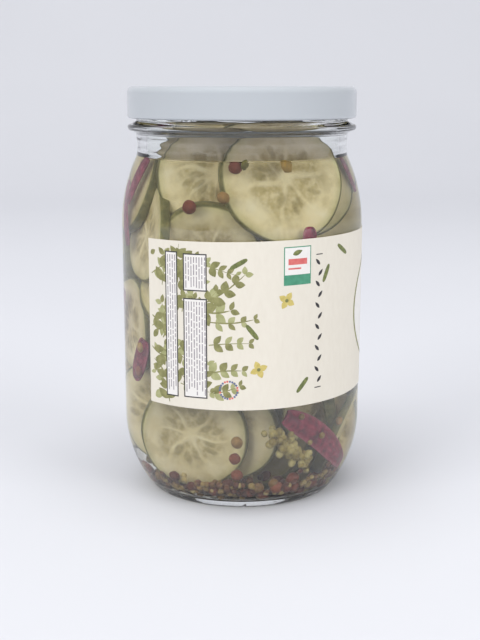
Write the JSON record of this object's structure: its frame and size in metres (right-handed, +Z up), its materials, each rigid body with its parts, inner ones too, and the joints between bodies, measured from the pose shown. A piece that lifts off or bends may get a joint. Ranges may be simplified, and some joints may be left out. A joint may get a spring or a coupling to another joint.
{
  "type": "pickle jar",
  "caption": "Round glass jar of sliced pickles in brine, with a white twist-off steel lid and a wrap-around paper label.",
  "frame": {"origin": "middle of the standing ring, on the surface that the jar rests on", "axes": "+Z up along the jar's axis; the label's open stretch faces -X and -Y is the side that shows the label's left end"},
  "size_m": [0.0777, 0.0778, 0.1299],
  "materials": {
    "glass": "clear flint glass, smooth",
    "lid_enamel": "white enamel on tinplate, gloss",
    "label_paper": "cream coated paper, satin, printed",
    "pickles_in_brine": "clear yellow-green brine full of cucumber slices and pickling spice"
  },
  "bodies": {
    "root": {"jar": "glass", "lid": "lid_enamel", "label": "label_paper", "brine": "pickles_in_brine"}
  },
  "joints": []
}
